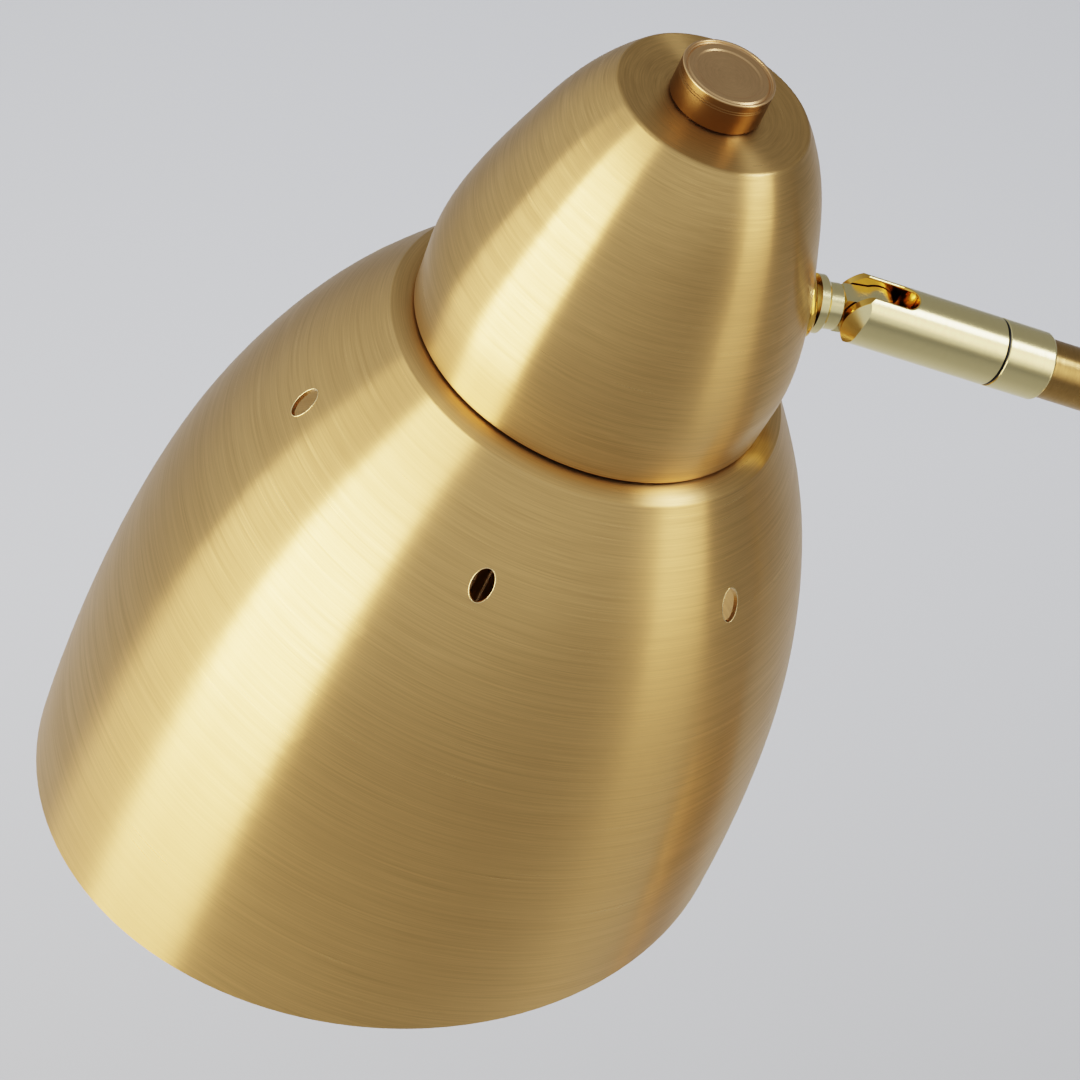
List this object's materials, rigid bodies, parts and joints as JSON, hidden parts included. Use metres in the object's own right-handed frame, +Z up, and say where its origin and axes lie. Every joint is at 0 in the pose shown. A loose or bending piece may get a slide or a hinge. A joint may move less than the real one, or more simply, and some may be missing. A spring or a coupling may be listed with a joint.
{
  "type": "swing arm desk lamp",
  "caption": "Desk lamp with a weighted round base, a column, a swinging and lifting arm, and a hinged brushed brass shade with a domed cap, vents and a switch knob.",
  "frame": {"origin": "centre of the base underside, on the column axis", "axes": "+Z up along the column; the arm reaches out over -X; the cable inlet faces +Y"},
  "size_m": [0.5382, 0.1958, 0.5447],
  "materials": {
    "felt": "wool felt",
    "plate_steel": "black painted sheet",
    "zinc_steel": "zinc plated",
    "cast_weight": "rough casting",
    "brushed_brass": "satin brass brushed around the axis, lacquered",
    "satin_brass": "pale satin brass, turned",
    "polished_brass": "polished golden brass",
    "antique_brass": "brown antique brass, finely turned",
    "black_washer": "black nylon",
    "black_plastic": "black phenolic",
    "black_rubber": "moulded rubber",
    "porcelain": "white steatite",
    "contact_brass": "plain brass strip",
    "bulb_metal": "rolled aluminium screw cap",
    "bulb_glass": "clear glass",
    "bulb_strips": "glass stem with yellow light strips"
  },
  "bodies": {
    "base": {"felt_pad": "felt", "base_plate": "plate_steel", "base_screws": "zinc_steel", "base_weight": "cast_weight", "base_cover": "brushed_brass", "cable_grommet": "black_rubber", "weight_washer": "zinc_steel", "weight_nut": "zinc_steel", "column_nipple": "zinc_steel", "column_flange": "satin_brass", "column_tube": "antique_brass", "column_plug": "zinc_steel", "column_bush": "satin_brass", "swing_washer": "black_washer"},
    "yoke": {"column_yoke": "satin_brass", "spigot_clip": "zinc_steel", "lift_pin": "polished_brass", "lift_nut": "polished_brass", "lift_washers": "polished_brass"},
    "arm": {"arm_knuckle": "satin_brass", "arm_tube": "antique_brass", "arm_collar": "satin_brass", "seam_washer": "black_washer"},
    "fork": {"head_fork": "satin_brass", "tilt_pin": "polished_brass", "roll_spindle": "zinc_steel", "roll_washer": "zinc_steel", "roll_nut": "zinc_steel"},
    "head": {"hinge_stub": "satin_brass", "saddle_washer": "polished_brass", "inner_saddle": "zinc_steel", "stud_nut": "zinc_steel", "holder_bracket": "zinc_steel", "cap_shell": "brushed_brass", "shade_shell": "brushed_brass", "holder_nipple": "zinc_steel", "nipple_nut": "zinc_steel", "holder_housing": "black_plastic", "holder_sleeve": "black_plastic", "shade_ring": "black_plastic", "holder_core": "porcelain", "screw_shell": "contact_brass", "centre_contact": "contact_brass", "bulb_base": "bulb_metal", "bulb_globe": "bulb_glass", "bulb_mount": "bulb_strips", "switch_body": "black_plastic", "switch_bush": "zinc_steel", "switch_washer": "zinc_steel", "switch_nut": "zinc_steel"},
    "knob": {"switch_knob": "antique_brass", "switch_shaft": "zinc_steel"}
  },
  "joints": [
    {"name": "arm_swing", "type": "hinge", "parent": "base", "child": "yoke", "pos_m": [0, 0, 0.33], "axis": [0, 0, 1], "range_deg": [-170, 170]},
    {"name": "arm_lift", "type": "hinge", "parent": "yoke", "child": "arm", "pos_m": [0, 0, 0.33], "axis": [0, 1, 0], "range_deg": [-48, 47]},
    {"name": "head_roll", "type": "hinge", "parent": "arm", "child": "fork", "pos_m": [-0.26488, 0, 0.47084], "axis": [0.8829, 0, -0.4695], "range_deg": [-170, 170]},
    {"name": "head_tilt", "type": "hinge", "parent": "fork", "child": "head", "pos_m": [-0.26488, 0, 0.47084], "axis": [0.0767, 0.9866, 0.1442], "range_deg": [-61, 78]},
    {"name": "knob_turn", "type": "hinge", "parent": "head", "child": "knob", "pos_m": [-0.29883, -0.00765, 0.5412], "axis": [-0.321, 0.1614, -0.9332], "range_deg": [0, 90]}
  ]
}
